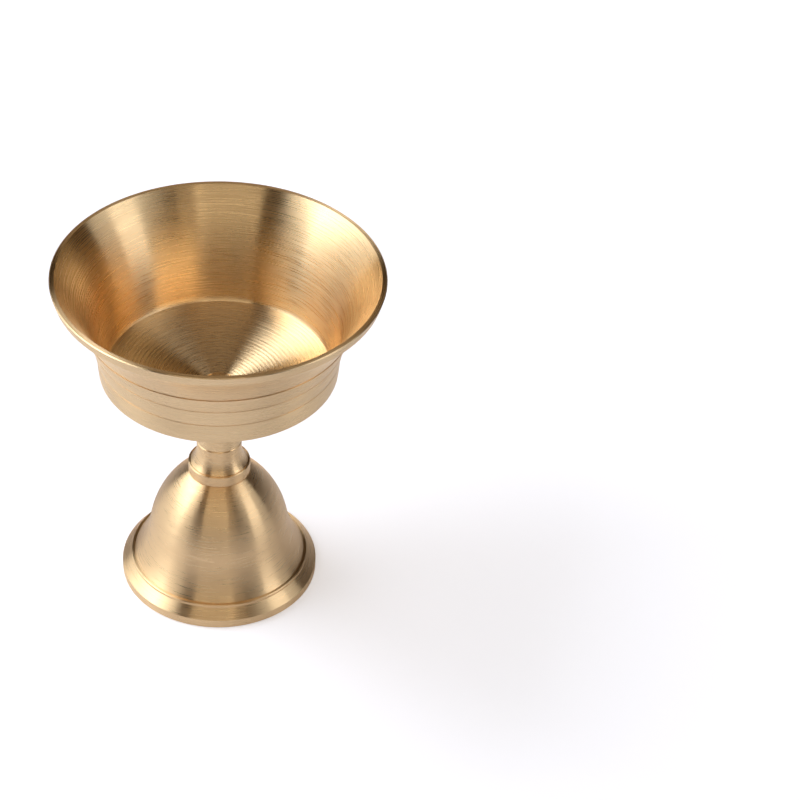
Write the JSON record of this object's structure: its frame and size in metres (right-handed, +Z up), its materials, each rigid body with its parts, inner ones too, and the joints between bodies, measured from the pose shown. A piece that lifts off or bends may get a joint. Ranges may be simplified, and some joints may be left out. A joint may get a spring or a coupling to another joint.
{
  "type": "votive butter lamp",
  "caption": "Turned brass votive lamp: a flared wick cup with turned rings that unscrews from a hollow bell foot.",
  "frame": {"origin": "centre of the foot's standing ring, on the table", "axes": "+Z up along the axis of turning, towards the rim; the shape is the same all round"},
  "size_m": [0.06, 0.06, 0.0683],
  "materials": {
    "cup_brass": "satin, brushed around the axis by the lathe",
    "collar_brass": "satin, brushed around the axis by the lathe",
    "bell_brass": "satin, brushed around the axis by the lathe",
    "stud_steel": "bright zinc",
    "washer_steel": "bright zinc",
    "nut_steel": "bright zinc"
  },
  "bodies": {
    "foot": {"bell_foot": "bell_brass", "tie_stud": "stud_steel", "washer": "washer_steel", "hex_nut": "nut_steel"},
    "collar": {"stem_collar": "collar_brass"},
    "cup": {"cup": "cup_brass"}
  },
  "joints": [
    {"name": "cup_turn", "type": "hinge", "parent": "foot", "child": "collar", "pos_m": [0, 0, 0.0237], "axis": [0, 0, 1], "range_deg": [0, 2520]},
    {"name": "cup_lift", "type": "slide", "parent": "collar", "child": "cup", "axis": [0, 0, 1], "range_m": [0, 0.00561]}
  ],
  "couplings": [
    {"joint": "cup_lift", "follows": "cup_turn", "m_per_rad": 0.00012732}
  ]
}
